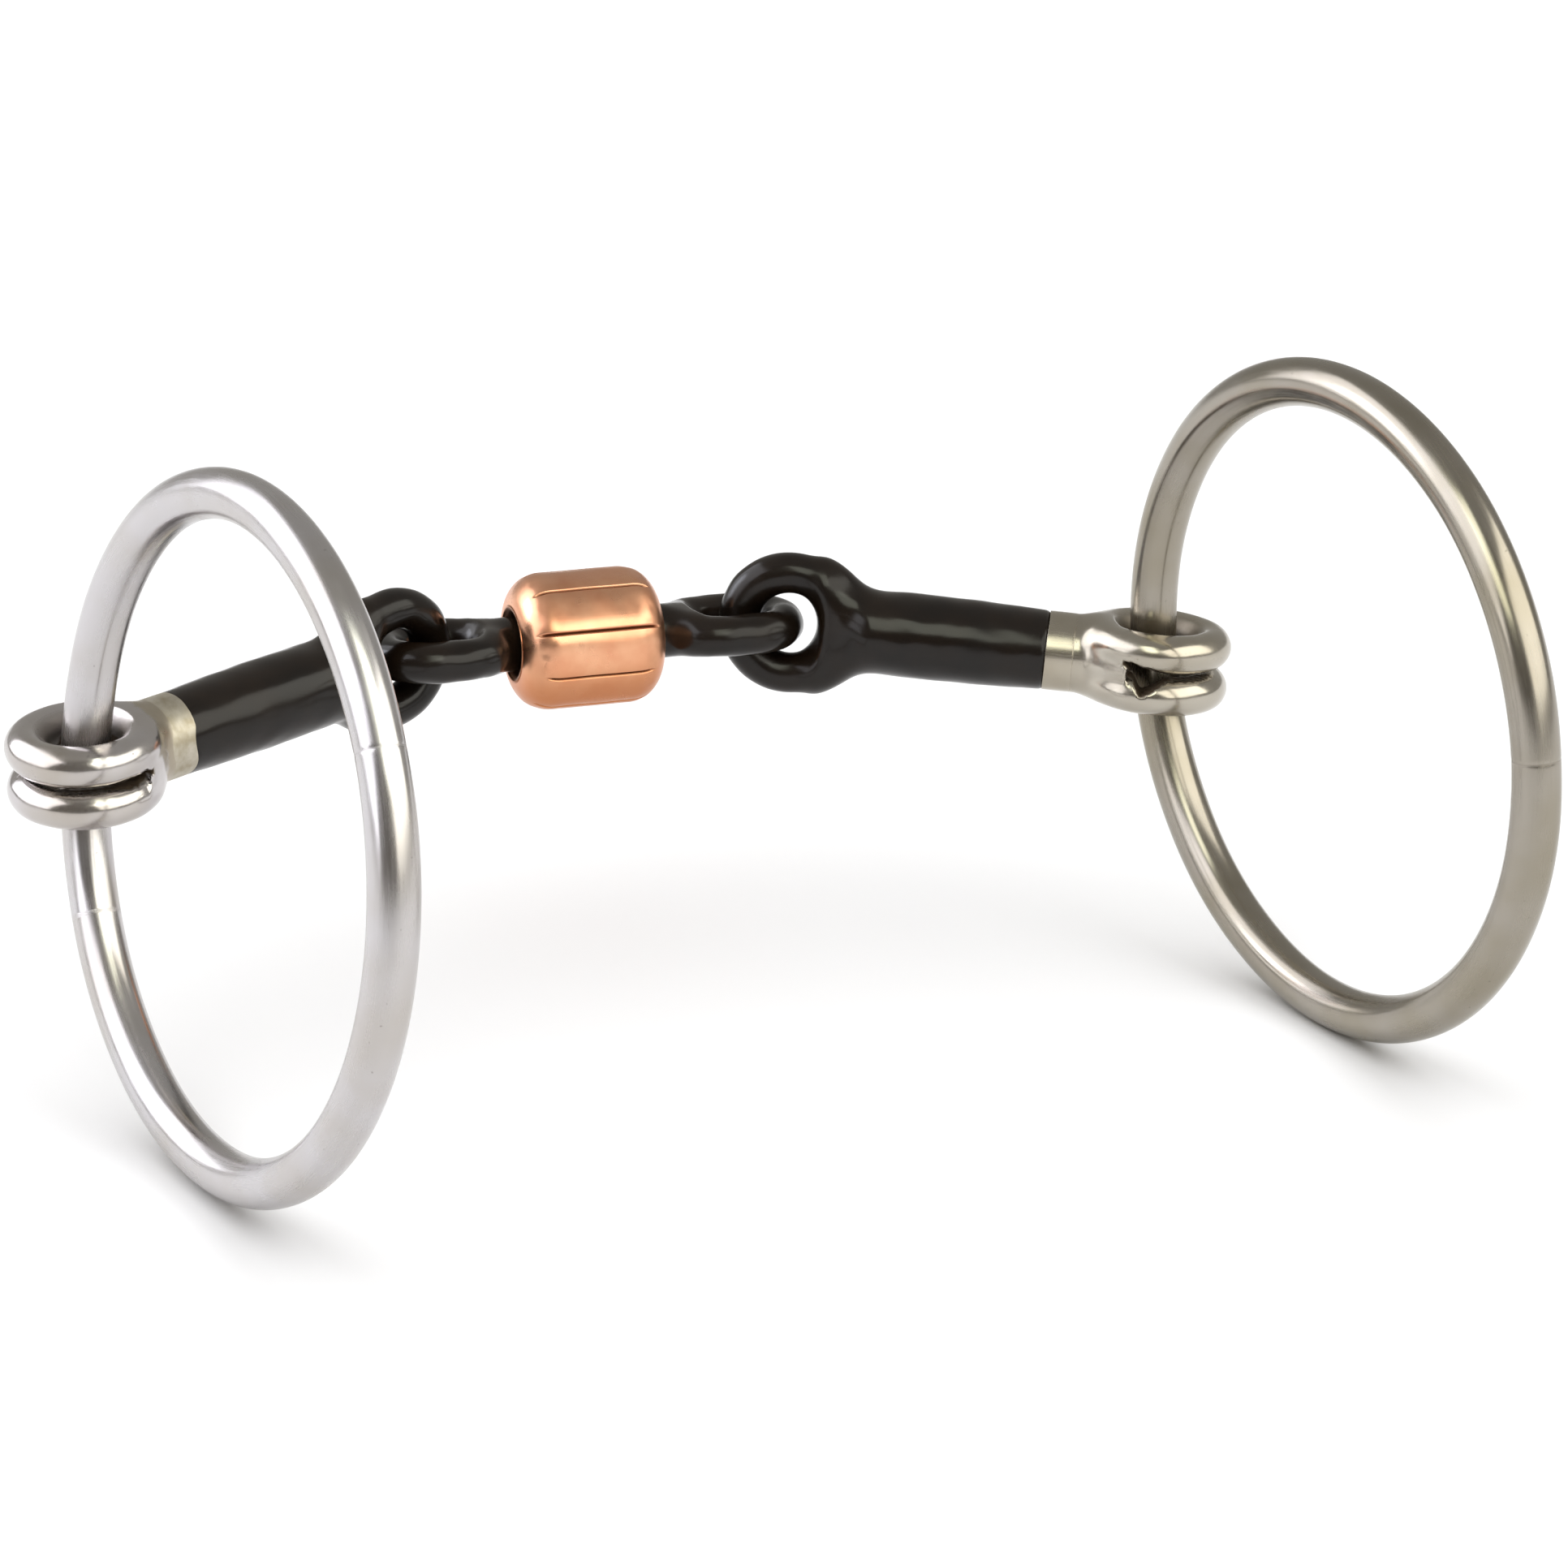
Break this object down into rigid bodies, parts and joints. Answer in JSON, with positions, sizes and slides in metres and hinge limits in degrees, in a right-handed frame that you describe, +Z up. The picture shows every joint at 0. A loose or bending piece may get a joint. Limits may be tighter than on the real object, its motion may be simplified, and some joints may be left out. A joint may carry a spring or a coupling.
{
  "type": "snaffle bit",
  "caption": "Loose-ring snaffle bit: round steel rings, jointed black cannons with steel double-loop ends, and a centre link that carries a grooved copper roller.",
  "frame": {"origin": "the middle of the centre link, on the axis of its shank", "axes": "+X along the bit from the left ring to the right ring, +Y to the back, towards which the middle of the mouthpiece is drawn, +Z up along the axes on which the cannons and rings turn"},
  "size_m": [0.1499, 0.0992, 0.0762],
  "materials": {
    "stainless_steel": "hand-polished stainless steel, satin to bright",
    "weld_metal": "ground weld bead, matte",
    "black_iron": "blued and oiled sweet iron, glossy black",
    "copper": "polished solid copper"
  },
  "bodies": {
    "link": {"center_link": "black_iron"},
    "roller": {"copper_roller": "copper"},
    "left_cannon_body": {"left_cannon": "black_iron", "left_weld": "weld_metal", "left_end_fitting": "stainless_steel"},
    "right_cannon_body": {"right_cannon": "black_iron", "right_weld": "weld_metal", "right_end_fitting": "stainless_steel"},
    "left_ring_body": {"left_ring": "stainless_steel"},
    "right_ring_body": {"right_ring": "stainless_steel"}
  },
  "joints": [
    {"name": "roller_spin", "type": "hinge", "parent": "link", "child": "roller", "pos_m": [0, 0, 0], "axis": [0.9997, 0, -0.0262], "continuous": true},
    {"name": "left_cannon_fold", "type": "hinge", "parent": "link", "child": "left_cannon_body", "pos_m": [-0.01849, 0, 0.00128], "axis": [0, 0, 1], "range_deg": [-114, 66]},
    {"name": "right_cannon_fold", "type": "hinge", "parent": "link", "child": "right_cannon_body", "pos_m": [0.01849, 0, 0.00032], "axis": [0, 0, -1], "range_deg": [-114, 66]},
    {"name": "left_ring_swing", "type": "hinge", "parent": "left_cannon_body", "child": "left_ring_body", "pos_m": [-0.06252, -0.01979, -0.0004], "axis": [0, 0, -1], "range_deg": [-80, 238]},
    {"name": "right_ring_swing", "type": "hinge", "parent": "right_cannon_body", "child": "right_ring_body", "pos_m": [0.06234, -0.01989, -0.00347], "axis": [0, 0, 1], "range_deg": [-105, 213]}
  ]
}
